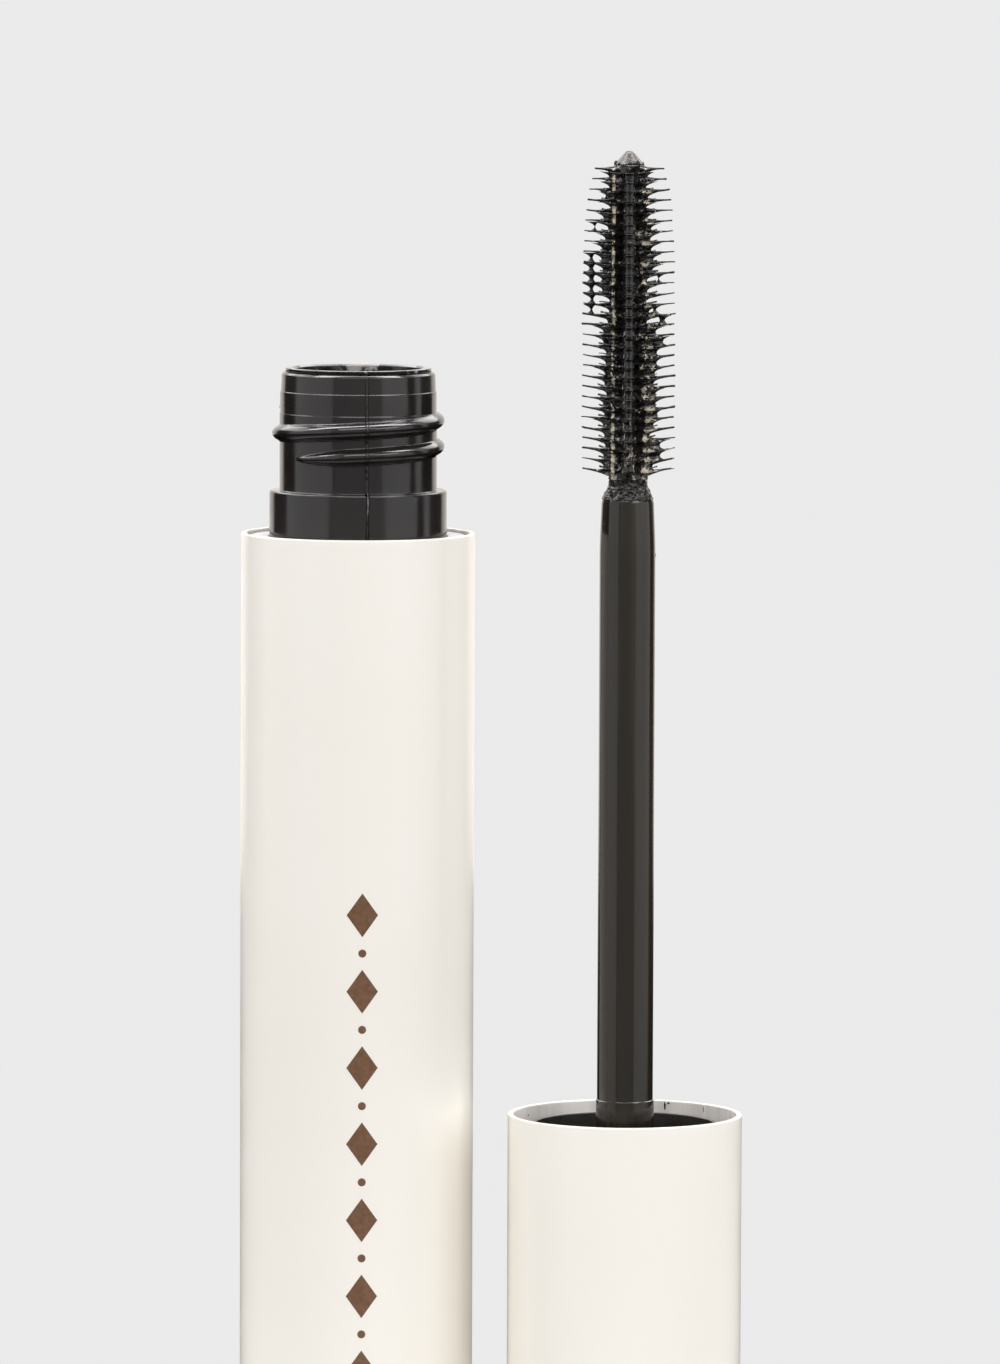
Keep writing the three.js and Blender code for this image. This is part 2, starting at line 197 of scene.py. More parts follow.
def colour_by(made, factor, *stops):
    """Base colour from a ramp of (position, colour) stops."""
    ramp = made.node_tree.nodes.new("ShaderNodeValToRGB")
    while len(ramp.color_ramp.elements) < len(stops):
        ramp.color_ramp.elements.new(0.5)
    for element, (at, colour) in zip(ramp.color_ramp.elements, stops):
        element.position = at
        element.color = (*colour, 1)
    made.node_tree.links.new(factor, ramp.inputs["Fac"])
    feed(made, ramp.outputs["Color"], "Base Color")


def roughness_by(made, factor, low, high):
    feed(made, map_range(made, factor, 0.3, 0.7, low, high), "Roughness")


def bumped(made, height, distance, strength=1.0):
    bump = made.node_tree.nodes.new("ShaderNodeBump")
    bump.inputs["Distance"].default_value = distance * MM
    bump.inputs["Strength"].default_value = strength
    made.node_tree.links.new(height, bump.inputs["Height"])
    feed(made, bump.outputs["Normal"], "Normal")


def lacquer():
    """Cream lacquer: a faint drift and fine orange peel under an amber coat, deeper at the edges."""
    made = new_material("cream_lacquer", (0.90, 0.87, 0.83), 0.34, coat=0.6, coat_roughness=0.16)
    shader_inputs(made)["Coat Tint"].default_value = (0.99, 0.965, 0.925, 1)
    drift = grain(made, 55, detail=2)
    colour_by(made, drift, (0.35, (0.905, 0.882, 0.836)), (0.65, (0.915, 0.895, 0.854)))
    roughness_by(made, grain(made, 320, detail=3), 0.30, 0.40)
    bumped(made, grain(made, 900, detail=2), 0.004, 0.35)
    return made


def bare_aluminium():
    """Inside of the drawn shell: dull silver with fine lines from the drawing die."""
    made = new_material("bare_aluminium", (0.82, 0.79, 0.76), 0.45, metallic=0.35)
    lines = grain(made, 700, (1, 1, 0.05), detail=3)
    colour_by(made, lines, (0.3, (0.70, 0.66, 0.63)), (0.7, (0.90, 0.86, 0.83)))
    roughness_by(made, lines, 0.42, 0.58)
    return made


def gloss_black():
    """Black moulded neck: glossy, with faint flow marks."""
    made = new_material("gloss_black_plastic", (0.012, 0.010, 0.009), 0.16, ior=1.52)
    flow = grain(made, 160, (1, 1, 0.3), detail=3)
    colour_by(made, flow, (0.3, (0.010, 0.008, 0.008)), (0.7, (0.016, 0.013, 0.012)))
    roughness_by(made, grain(made, 420, detail=4), 0.11, 0.22)
    bumped(made, flow, 0.02, 0.25)
    return made


def satin_black():
    """Brown-black wand: semi-gloss, with upright streaks where the wiper has dragged the paste off."""
    made = new_material("satin_black_plastic", (0.02, 0.014, 0.011), 0.3)
    streaks = grain(made, 900, (1, 1, 0.02), detail=4, roughness=0.55)
    stops = (0.32, (0.012, 0.009, 0.006)), (0.55, (0.019, 0.015, 0.010)), (0.72, (0.036, 0.028, 0.019))
    colour_by(made, streaks, *stops)
    roughness_by(made, streaks, 0.07, 0.2)
    bumped(made, streaks, 0.006, 0.25)
    return made


def core_black():
    """Inside of the cap: the wand's plastic, duller and faintly specked."""
    made = new_material("core_black_plastic", (0.014, 0.011, 0.010), 0.3)
    speck = grain(made, 500, detail=4)
    colour_by(made, speck, (0.3, (0.010, 0.008, 0.007)), (0.75, (0.024, 0.019, 0.017)))
    roughness_by(made, speck, 0.22, 0.4)
    return made


def wet_paste():
    """Mascara: near-black, wet, with a lumpy skin that breaks its highlights up."""
    made = new_material("mascara_paste", (0.008, 0.006, 0.006), 0.15)
    shader_inputs(made)["Specular IOR Level"].default_value = 0.3
    lumps = grain(made, 2300, detail=1.5)
    colour_by(made, lumps, (0.35, (0.006, 0.005, 0.005)), (0.7, (0.02, 0.016, 0.014)))
    roughness_by(made, lumps, 0.09, 0.2)
    bumped(made, lumps, 0.14, 1.0)
    return made


# How much each zone adds to a noise that turns pale near 0.7. All are painted highlights: on the bristles'
# +X front side, at their low end, along a line of their roots, and in the wiper's mouth.
PAINTED_GLINT_RIGHT, PAINTED_GLINT_BANDS, PAINTED_GLINT_LOW, PAINTED_GLINT_LINE, PAINTED_MOUTH_GLINT = 0.10, 0.05, 0.08, 0.16, 0.2
# The line of painted highlights runs up the roots left of the brush's axis, on the front side.
PAINTED_GLINT_LINE_X = CAP_AXIS[0] - 1.24


def node_math(made, operation, first, second):
    """A Math node's result; each input is a socket or a plain number."""
    links = made.node_tree.links
    node = made.node_tree.nodes.new("ShaderNodeMath")
    node.operation = operation
    for i, value in enumerate((first, second)):
        if isinstance(value, (int, float)):
            node.inputs[i].default_value = value
        else:
            links.new(value, node.inputs[i])
    return node.outputs["Value"]


def fade_between(made, value, start, end, last):
    """Rises from 0 at start to last at end, both in millimetres."""
    return map_range(made, value, start * MM, end * MM, 0, last)


def near(made, value, middle, outer, inner, last):
    """Rises from 0 at outer to last at inner, both in millimetres away from middle."""
    off = node_math(made, "ABSOLUTE", node_math(made, "SUBTRACT", value, middle * MM), 0)
    return fade_between(made, off, outer, inner, last)


def object_axes(made):
    split = made.node_tree.nodes.new("ShaderNodeSeparateXYZ")
    made.node_tree.links.new(object_place(made), split.inputs["Vector"])
    return split.outputs


def painted_glint_bands(made, axes):
    """Painted highlight raised on the brush's +X side, in bands as far apart as the rows of bristles."""
    side = fade_between(made, axes["X"], CAP_AXIS[0] + 0.7, CAP_AXIS[0] + 1.3, 1)
    wave = node_math(made, "SINE", node_math(made, "MULTIPLY", axes["Z"], 2 * math.pi / (ROW_PITCH * MM)), 0)
    bands = node_math(made, "ADD", node_math(made, "MULTIPLY", wave, PAINTED_GLINT_BANDS), PAINTED_GLINT_RIGHT)
    return node_math(made, "MULTIPLY", side, bands)


def bristle_rubber():
    """Brown-black bristles under wet paste, with painted highlights as pale flecks on the front and at the
    low end.
    """
    made = new_material("bristle_rubber", (0.012, 0.009, 0.008), 0.25, coat=0.2, coat_roughness=0.12)
    coat = grain(made, 2300, (0.9, 0.9, 0.6), detail=4, roughness=0.6)
    axes = object_axes(made)
    # Painted highlights: the zones below push the noise into the pale stop, on the front half only for the
    # side and the line.
    facing = fade_between(made, axes["Y"], CAP_AXIS[1] - 0.1, CAP_AXIS[1] - 0.5, 1)
    right_side = node_math(made, "MULTIPLY", painted_glint_bands(made, axes), facing)
    low_end = fade_between(made, axes["Z"], BRUSH_BOTTOM + 5.5, BRUSH_BOTTOM + 1.5, PAINTED_GLINT_LOW)
    line = node_math(made, "MULTIPLY", near(made, axes["X"], PAINTED_GLINT_LINE_X, 0.2, 0.08, PAINTED_GLINT_LINE), facing)
    grain_and_painted_glints = coat
    for zone in (right_side, low_end, line):
        grain_and_painted_glints = node_math(made, "ADD", grain_and_painted_glints, zone)
    # The pale last stop is painted highlight.
    stops = (0.50, (0.006, 0.005, 0.005)), (0.65, (0.014, 0.011, 0.009)), (0.72, (0.60, 0.53, 0.42))
    colour_by(made, grain_and_painted_glints, *stops)
    roughness_by(made, coat, 0.1, 0.26)
    bumped(made, coat, 0.045, 0.55)
    return made


def wiper_rubber():
    """Glossy black, with a painted highlight of pale specks on the far side of the mouth."""
    made = new_material("wiper_rubber", (0.012, 0.010, 0.010), 0.12)
    smear = grain(made, 1400, detail=5)
    axes = object_axes(made)
    # Painted highlight: the pale specks gather in the middle of the far wall, high in the mouth, where the
    # front lights would glint.
    middle = near(made, axes["X"], BOTTLE_AXIS[0], 2.2, 0.9, PAINTED_MOUTH_GLINT)
    far = fade_between(made, axes["Y"], 3.5, 4.5, 1)
    high = fade_between(made, axes["Z"], MOUTH_TOP - 2.2, MOUTH_TOP - 1.2, 1)
    patch = node_math(made, "MULTIPLY", middle, node_math(made, "MULTIPLY", far, high))
    smear_and_painted_glint = node_math(made, "ADD", smear, patch)
    stops = (0.4, (0.009, 0.007, 0.007)), (0.62, (0.02, 0.018, 0.018)), (0.72, (0.34, 0.32, 0.31))
    colour_by(made, smear_and_painted_glint, *stops)
    roughness_by(made, smear, 0.06, 0.18)
    bumped(made, smear, 0.02, 0.3)
    return made


def tip_polymer():
    """The brush's bare tip, where paste has worn off in patches."""
    made = new_material("tip_polymer", (0.06, 0.05, 0.046), 0.3)
    wear = grain(made, 1500, detail=5)
    stops = (0.35, (0.015, 0.012, 0.010)), (0.55, (0.06, 0.05, 0.045)), (0.7, (0.17, 0.15, 0.135))
    colour_by(made, wear, *stops)
    roughness_by(made, wear, 0.22, 0.4)
    bumped(made, wear, 0.05, 0.6)
    return made


def pale_plastic():
    made = new_material("pale_plastic", (0.72, 0.71, 0.69), 0.42)
    speck = grain(made, 500, detail=3)
    colour_by(made, speck, (0.3, (0.70, 0.69, 0.67)), (0.7, (0.76, 0.755, 0.74)))
    roughness_by(made, speck, 0.36, 0.5)
    return made


def turned_steel():
    made = new_material("turned_steel", (0.55, 0.56, 0.57), 0.4, metallic=1.0)
    lines = grain(made, 900, (0.2, 0.2, 1), detail=3)
    colour_by(made, lines, (0.3, (0.48, 0.49, 0.50)), (0.7, (0.62, 0.63, 0.64)))
    roughness_by(made, lines, 0.32, 0.48)
    return made


def label_paper():
    made = new_material("label_paper", (0.88, 0.87, 0.84), 0.85)
    fibre = grain(made, 1500, (1, 2, 1), detail=5)
    colour_by(made, fibre, (0.3, (0.85, 0.84, 0.81)), (0.7, (0.91, 0.90, 0.88)))
    bumped(made, fibre, 0.02, 0.4)
    return made


def bronze_ink():
    made = new_material("bronze_ink", (0.17, 0.085, 0.045), 0.42, metallic=0.15)
    flake = grain(made, 2600, detail=4)
    colour_by(made, flake, (0.3, (0.14, 0.070, 0.036)), (0.7, (0.20, 0.105, 0.058)))
    roughness_by(made, flake, 0.36, 0.5)
    return made


LACQUER, ALUMINIUM, GLOSS_BLACK, SATIN_BLACK = lacquer(), bare_aluminium(), gloss_black(), satin_black()
CORE_BLACK, WIPER_RUBBER, PASTE, BRISTLE = core_black(), wiper_rubber(), wet_paste(), bristle_rubber()
TIP, PALE, STEEL, PAPER, INK = tip_polymer(), pale_plastic(), turned_steel(), label_paper(), bronze_ink()


# ---- Mesh building ----


def outward(angle):
    """Unit vector away from an upright axis, at an angle in radians."""
    return Vector((math.cos(angle), math.sin(angle), 0))


def sideways(angle):
    return Vector((-math.sin(angle), math.cos(angle), 0))


def noise_place(degrees, height):
    """Where a turned skin reads its noise: on a unit cylinder, so that the noise closes round the axis."""
    turn = math.radians(degrees)
    return Vector((math.cos(turn), math.sin(turn), height))


def add_piece(name, solid, made, body, stands_for=(), smooth=True):
    """A mesh object from (vertices, faces) in millimetres, riding on a body and standing for CAD nodes."""
    vertices, faces = solid
    mesh = bpy.data.meshes.new(name)
    mesh.from_pydata([Vector(v) * MM for v in vertices], [], faces)
    mesh.materials.append(made)
    mesh.polygons.foreach_set("use_smooth", [smooth] * len(mesh.polygons))
    mesh.update()
    piece = bpy.data.objects.new(name, mesh)
    bpy.context.scene.collection.objects.link(piece)
    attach(piece, body)
    if stands_for:
        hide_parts(*stands_for)
    return piece


def rounded(corners):
    """(radius, height, fillet) corners, the fillet optional, as an outline with each corner rounded."""
    points = [(c[0], c[1]) for c in corners]
    fillets = [c[2] if len(c) > 2 else 0 for c in corners]
    outline = []
    for i, (corner, fillet) in enumerate(zip(points, fillets)):
        if not fillet:
            outline.append(corner)
            continue
        here = Vector(corner)
        before = Vector(points[i - 1]) - here
        after = Vector(points[(i + 1) % len(points)]) - here
        start = here + before.normalized() * min(fillet, before.length / 2)
        end = here + after.normalized() * min(fillet, after.length / 2)
        for k in range(ARC_POINTS + 1):
            t = k / ARC_POINTS
            outline.append(tuple((1 - t) ** 2 * start + 2 * t * (1 - t) * here + t * t * end))
    return outline


def between(low, high, step):
    """Evenly spaced values from low to high, about a step apart."""
    count = max(1, round((high - low) / step))
    return [low + (high - low) * i / count for i in range(count + 1)]


def lathe_mesh(outline, axis, steps, shape=None):
    """Vertices and faces of an anticlockwise outline turned round an upright axis."""
    vertices, rings = [], []
    for radius, height in outline:
        if radius < 1e-6:
            rings.append([len(vertices)] * steps)
            vertices.append((*axis, height))
            continue
        rings.append(list(range(len(vertices), len(vertices) + steps)))
        for i in range(steps):
            angle = 2 * math.pi * i / steps
            r, z = shape(math.degrees(angle), radius, height) if shape else (radius, height)
            vertices.append((axis[0] + r * math.cos(angle), axis[1] + r * math.sin(angle), z))
    faces = []
    closed = outline[0][0] > 1e-6
    for k in range(len(rings) if closed else len(rings) - 1):
        low, high = rings[k], rings[(k + 1) % len(rings)]
        for i in range(steps):
            j = (i + 1) % steps
            corners = [low[i], low[j], high[j], high[i]]
            faces.append([v for n, v in enumerate(corners) if v not in corners[:n]])
    return vertices, faces


def turned(name, corners, axis, made, body, stands_for=(), steps=STEPS, shape=None):
    """A piece turned round an axis from rounded corners; shape may move each point of its skin."""
    return add_piece(name, lathe_mesh(rounded(corners), axis, steps, shape), made, body, stands_for)


def repaint(piece, made, axis, chosen):
    """Gives the faces whose middle (radius, height) is chosen another material."""
    piece.data.materials.append(made)
    for face in piece.data.polygons:
        x, y, z = face.center / MM
        if chosen(math.hypot(x - axis[0], y - axis[1]), z):
            face.material_index = len(piece.data.materials) - 1


def lump_mesh(centre, radii, seed, rings=7, sectors=12, rough=0.25):
    """A closed blob: an ellipsoid whose skin is pushed in and out by noise."""
    vertices, faces = [], []
    for i in range(rings + 1):
        polar = math.pi * i / rings
        for j in range(1 if i in (0, rings) else sectors):
            turn = 2 * math.pi * j / sectors
            level = math.sin(polar)
            way = Vector((level * math.cos(turn), level * math.sin(turn), math.cos(polar)))
            swell = 1 + rough * noise.noise(way * 1.7 + Vector((seed * 3.1, seed * 1.3, seed)))
            vertices.append([centre[k] + radii[k] * way[k] * swell for k in range(3)])

    def first(ring):
        return 1 + (ring - 1) * sectors if ring else 0

    for j in range(sectors):
        after = (j + 1) % sectors
        faces.append([0, first(1) + j, first(1) + after])
        for i in range(1, rings - 1):
            faces.append([first(i) + j, first(i + 1) + j, first(i + 1) + after, first(i) + after])
        faces.append([first(rings - 1) + j, first(rings), first(rings - 1) + after])
    return vertices, faces


def tube_faces(rings, sides, pointed=False):
    """Faces of a closed tube of vertex rings; a pointed one's last ring is left open for its point."""
    faces = [list(reversed(range(sides)))]
    for i in range(rings - 1):
        for j in range(sides):
            a, b = i * sides + j, i * sides + (j + 1) % sides
            faces.append([a, b, b + sides, a + sides])
    if not pointed:
        faces.append(list(range((rings - 1) * sides, rings * sides)))
    return faces


def merged(parts):
    """Several (vertices, faces) solids as one."""
    vertices, faces = [], []
    for more_vertices, more_faces in parts:
        faces += [[i + len(vertices) for i in face] for face in more_faces]
        vertices += more_vertices
    return vertices, faces


# ---- Bottle ----


def drawn_shell(height, underside):
    """Outline of a drawn shell; the underside runs from the axis to the rounded edge."""
    return [
        *underside,
        (TUBE_RADIUS, 0, EDGE_RADIUS),
        (TUBE_RADIUS, height, 0.14),
        (BORE, height, 0.14),
        (BORE, END_THICKNESS, 0.3),
        (0, END_THICKNESS),
    ]


def make_sleeve():
    recess = [(0, LABEL_THICKNESS), (LABEL_RADIUS + GAP, LABEL_THICKNESS), (LABEL_RADIUS + GAP, 0, 0.05)]
    corners = drawn_shell(SLEEVE_TOP, recess)
    sleeve = turned("sleeve", corners, BOTTLE_AXIS, LACQUER, "bottle", ["bottle_sleeve"])
    repaint(sleeve, ALUMINIUM, BOTTLE_AXIS, lambda r, z: r < BORE + 0.03 and z > 2 * LABEL_THICKNESS)


# Ornament: one column of lozenges with a bead between each two, printed on the sleeve.
ORNAMENT_ANGLE = -86.6
ORNAMENT_TOP, ORNAMENT_PITCH, ORNAMENT_COUNT = 60.2, 6.1, 8
LOZENGE_HALF = (1.25, 1.75)
BEAD_HALF = (0.32, 0.32)
INK_THICKNESS = 0.012


def printed_patch(middle, half, edge, columns=24):
    """A thin closed patch of ink on the sleeve; edge gives its half height at a share of its half width."""
    inner, outer = TUBE_RADIUS - INK_THICKNESS, TUBE_RADIUS + INK_THICKNESS
    vertices = []
    for k in range(columns + 1):
        share = -1 + 2 * k / columns
        angle = math.radians(ORNAMENT_ANGLE) + share * half[0] / TUBE_RADIUS
        tall = max(half[1] * edge(abs(share)), 0.01)
        for radius, rise in ((inner, -tall), (inner, tall), (outer, tall), (outer, -tall)):
            vertices.append((radius * math.cos(angle), radius * math.sin(angle), middle + rise))
    return vertices, tube_faces(columns + 1, 4)


def make_ornament():
    """Lozenges and beads; the bead's edge is an ellipse."""
    patches = []
    for i in range(ORNAMENT_COUNT):
        middle = ORNAMENT_TOP - ORNAMENT_PITCH * i
        patches.append(printed_patch(middle, LOZENGE_HALF, lambda s: 1 - s))
        if i < ORNAMENT_COUNT - 1:
            between_two = middle - ORNAMENT_PITCH / 2
            patches.append(printed_patch(between_two, BEAD_HALF, lambda s: math.sqrt(1 - s * s)))
    add_piece("sleeve_ornament", merged(patches), INK, "bottle", smooth=False)


def ridge_height(angle, height, start_angle, start_height, sweep, rise, half_width):
    """How far a thread ridge stands from its wall, at an angle in degrees; its ends are pointed."""
    tallest = 0.0
    along = (angle - start_angle) % 360
    while along <= sweep:
        grown = min(along, sweep - along, THREAD_LEAD) / THREAD_LEAD
        wide = half_width * max(grown, 0.02) ** 0.6
        off = abs(height - start_height - THREAD_PITCH * along / 360) / wide
        if off < 1:
            tallest = max(tallest, rise * grown**0.8 * (1 - off**2.4) ** 1.1)
        along += 360
    return tallest


def neck_shape(angle, radius, height):
    """Raises the thread on the neck's outer wall and leaves the rest of the vial as it is."""
    if radius < LIP_RADIUS or radius > NECK_RADIUS + 0.01 or height < SLEEVE_TOP + COLLAR_HEIGHT:
        return radius, height
    base = SLEEVE_TOP + THREAD_BASE
    rise = ridge_height(angle, height, THREAD_START, base, THREAD_SWEEP, THREAD_RISE, THREAD_HALF_WIDTH)
    return radius + rise, height


def neck_wall():
    """Corners up the outside of the vial's neck, from the collar's foot to the lip."""
    rim = SLEEVE_TOP
    ledge = LIP_TOP - LEDGE_DROP
    thread_low = rim + COLLAR_HEIGHT + 0.6
    thread_high = ledge - 0.25
    step = rim + STEP_HEIGHT
    return [
        (COLLAR_RADIUS, rim + COLLAR_HEIGHT, 0.22),
        (NECK_RADIUS, rim + COLLAR_HEIGHT, 0.12),
        *[(NECK_RADIUS, z) for z in between(thread_low, step, 0.07)],
        *[(NECK_RADIUS - STEP, z) for z in between(step + 0.03, thread_high, 0.07)],
        (NECK_RADIUS - STEP, ledge, 0.04),
        (LEDGE_RADIUS, ledge + 0.04, 0.03),
        (LIP_RADIUS, LIP_TOP - 0.17, 0.04),
        (LIP_RADIUS - 0.16, LIP_TOP, 0.04),
    ]


def make_vial():
    body, shoulder, flange, throat, floor = 7.75, 86.4, 1.6, 84.5, 1.5
    corners = [
        (0, VIAL_BOTTOM),
        (body, VIAL_BOTTOM, 0.8),
        (body, shoulder, 0.15),
        (LINING_RADIUS, shoulder, 0.15),
        (LINING_RADIUS, shoulder + flange, 0.15),
        (COLLAR_RADIUS, shoulder + flange, 0.1),
        *neck_wall(),
        (NECK_BORE, LIP_TOP, 0.1),
        (NECK_BORE, throat, 0.3),
        (FILL_RADIUS + GAP, throat - 2, 0.3),
        (FILL_RADIUS + GAP, VIAL_BOTTOM + floor, 0.8),
        (0, VIAL_BOTTOM + floor),
    ]
    turned("vial_body", corners, BOTTLE_AXIS, GLOSS_BLACK, "bottle", ["vial"], shape=neck_shape)


def make_parting_lines():
    """Fine raised seams of the mould, up both sides of the collar and neck."""
    half_width, rise, bury = 0.16, 0.1, 0.06
    path = [(COLLAR_RADIUS, RING_TOP), *rounded(neck_wall())[1:-6]]
    seams = []
    for seam_angle in PARTING_ANGLES:
        vertices = []
        for radius, height in path:
            r, z = neck_shape(seam_angle, radius, height)
            waver = 0.06 * noise.noise(Vector((seam_angle, 0, height * 1.3)))
            crest = rise * (1 + 0.5 * noise.noise(Vector((0, seam_angle, height * 2.1))))
            for off, out in ((-half_width, -0.01), (0, crest), (half_width, -0.01), (0, -bury)):
                angle = math.radians(seam_angle) + (off + waver) / r
                vertices.append(((r + out) * math.cos(angle), (r + out) * math.sin(angle), z))
        seams.append((vertices, tube_faces(len(path), 4)))
    add_piece("vial_parting_lines", merged(seams), GLOSS_BLACK, "bottle")


def make_shoulder_ring():
    corners = [
        (COLLAR_RADIUS + GAP, RING_BOTTOM, 0.1),
        (RING_RADIUS, RING_BOTTOM, 0.1),
        (RING_RADIUS, RING_TOP, 0.15),
        (COLLAR_RADIUS + GAP, RING_TOP, 0.1),
    ]
    turned("collar_ring", corners, BOTTLE_AXIS, PALE, "bottle", ["shoulder_ring"])


def make_wiper():
    """Flange on the lip, straight mouth, funnel and orifice, with a slightly smeared bore."""
    cone, orifice, orifice_top, lip = 92.0, 2.3, 85.0, 0.4
    mouth_bore, tube = 5.1, NECK_BORE - GAP
    corners = [
        (orifice, WIPER_TIP, 0.1),
        (orifice + lip, WIPER_TIP, 0.1),
        (orifice + lip, orifice_top, 0.2),
        (tube, cone, 0.4),
        (tube, LIP_TOP + GAP),
        (WIPER_FLANGE, LIP_TOP + GAP),
        (WIPER_FLANGE, MOUTH_TOP - 0.05, 0.02),
        (WIPER_FLANGE - 0.05, MOUTH_TOP, 0.02),
        (WIPER_FLANGE - 0.5, MOUTH_TOP, 0.04),
        (mouth_bore, MOUTH_TOP - 0.12, 0.05),
        (mouth_bore - 0.02, MOUTH_TOP - 1.1),
        (mouth_bore, cone, 0.4),
        (orifice, orifice_top, 0.3),
    ]

    def smeared(angle, radius, height):
        if radius > tube - 0.2:
            return radius, height
        return radius + 0.05 * noise.noise(noise_place(angle, height * 0.3) * 4), height

    turned("wiper_lip", corners, BOTTLE_AXIS, WIPER_RUBBER, "bottle", ["wiper"], shape=smeared)


def make_fill():
    """The paste: a lumpy mass against the vial, with the ragged tunnel of the brush down its middle."""
    tunnel, tunnel_floor = 3.9, 12.0
    inside = [(tunnel, z) for z in reversed(between(tunnel_floor + 1, FILL_TOP - 1, 1.2))]
    corners = [
        (0, FILL_BOTTOM),
        (FILL_RADIUS, FILL_BOTTOM, 0.6),
        (FILL_RADIUS, FILL_TOP, 0.3),
        (tunnel + 1.3, FILL_TOP, 0.5),
        *inside,
        (tunnel, tunnel_floor, 0.6),
        (0, tunnel_floor),
    ]

    def ragged(angle, radius, height):
        if radius > FILL_RADIUS - 0.7:
            return radius, height
        place = noise_place(angle, height * 0.45)
        return radius + 0.4 * noise.noise(place * 2.1), height - 0.3 * abs(noise.noise(place * 3.3))

    turned("paste", corners, BOTTLE_AXIS, PASTE, "bottle", ["mascara_fill"], SLIM_STEPS, ragged)


# ---- Cap ----


def off_cap_axis(degrees, reach, height):
    turn = math.radians(degrees)
    return CAP_AXIS[0] + reach * math.cos(turn), CAP_AXIS[1] + reach * math.sin(turn), height


# Marks left by the paste inside the cap's mouth: (degrees, drop below the rim, half width, half height).
SMEARS = ((68, 0.42, 0.07, 0.33), (66, 0.2, 0.1, 0.08), (44, 0.45, 0.03, 0.28), (150, 0.75, 0.05, 0.06))


def make_cap_shell():
    """The shell, and the smears of paste in its mouth as a piece of their own."""
    corners = drawn_shell(CAP_TOP, [(0, 0)])
    shell = turned("cap_outside", corners, CAP_AXIS, LACQUER, "applicator", ["cap_shell"])
    repaint(shell, ALUMINIUM, CAP_AXIS, lambda r, z: r < BORE + 0.03 and z > END_THICKNESS / 2)
    smears = []
    for degrees, drop, wide, tall in SMEARS:
        centre = off_cap_axis(degrees, BORE, CAP_TOP - drop)
        smears.append(lump_mesh(centre, (wide, wide, tall), degrees, rough=0.6))
    add_piece("cap_smears", merged(smears), PASTE, "applicator")


def core_shape(angle, radius, height):
    """Raises the thread inside the core's bore, level with the neck's thread when the cap is on."""
    if abs(radius - THREAD_BORE) > 0.02:
        return radius, height
    start = CAP_TOP - THREAD_BASE + THREAD_PITCH / 2 - THREAD_PITCH * CORE_THREAD_SWEEP / 360
    size = CORE_THREAD_SWEEP, CORE_THREAD_RISE, CORE_THREAD_HALF_WIDTH
    return radius - ridge_height(angle, height, -THREAD_START, start, *size), height


def make_cap_core():
    socket_bore = PLUG_RADIUS + GAP
    floor = LINER_BOTTOM - GAP
    under_floor = floor - CORE_FLOOR
    collar_step = CAP_TOP - COLLAR_BORE_DEPTH
    flange_foot = CORE_FLANGE_TOP - CORE_FLANGE
    threaded = [(THREAD_BORE, z) for z in reversed(between(floor + 1.2, collar_step - 0.3, 0.1))]
    corners = [
        (socket_bore, SOCKET_FOOT, 0.1),
        (SOCKET_RADIUS, SOCKET_FOOT, 0.1),
        (SOCKET_RADIUS, under_floor, 0.3),
        (CORE_SKIRT_BORE, under_floor, 0.3),
        (CORE_SKIRT_BORE, CORE_FOOT, 0.1),
        (CORE_SKIRT, CORE_FOOT, 0.1),
        (CORE_SKIRT, flange_foot, 0.2),
        (LINING_RADIUS, flange_foot, 0.2),
        (LINING_RADIUS, CORE_FLANGE_TOP, 0.2),
        (CORE_RADIUS, CORE_FLANGE_TOP, 0.2),
        (CORE_RADIUS, CORE_TOP, 0.13),
        (COLLAR_BORE, CORE_TOP, 0.1),
        (COLLAR_BORE, collar_step, 0.1),
        (THREAD_BORE, collar_step, 0.05),
        *threaded,
        (THREAD_BORE, floor, 0.2),
        (socket_bore, floor, 0.1),
    ]
    parts = [lathe_mesh(rounded(corners), CAP_AXIS, STEPS, core_shape)]
    parts += core_ribs(CORE_FOOT, flange_foot)
    add_piece("core", merged(parts), CORE_BLACK, "applicator", ["cap_core"])


def core_ribs(foot, top, count=8, half_width=0.5, lean=0.15):
    """Upright ribs with tapered flanks that centre the skirt in the shell."""
    inner, outer = CORE_SKIRT - 0.2, LINING_RADIUS - 2 * GAP
    ribs = []
    for i in range(count):
        angle = 2 * math.pi * i / count
        out, side = outward(angle), sideways(angle)
        centre = Vector((*CAP_AXIS, 0))
        vertices = []
        for height, pull in ((foot, lean), (foot + 1, 0), (top - GAP, 0)):
            root, edge = (inner, half_width), (outer - pull, half_width - lean)
            for (reach, half), sign in ((root, -1), (edge, -1), (edge, 1), (root, 1)):
                vertices.append(tuple(centre + out * reach + side * half * sign + Vector((0, 0, height))))
        ribs.append((vertices, tube_faces(3, 4)))
    return ribs


def make_liner():
    hole = 2.6
    corners = [
        (hole, LINER_BOTTOM, 0.1),
        (LINER_RADIUS, LINER_BOTTOM, 0.1),
        (LINER_RADIUS, LINER_TOP, 0.15),
        (hole, LINER_TOP, 0.15),
    ]
    turned("sealing_washer", corners, CAP_AXIS, PALE, "seal", ["cap_liner"])


# ---- Wand and brush ----


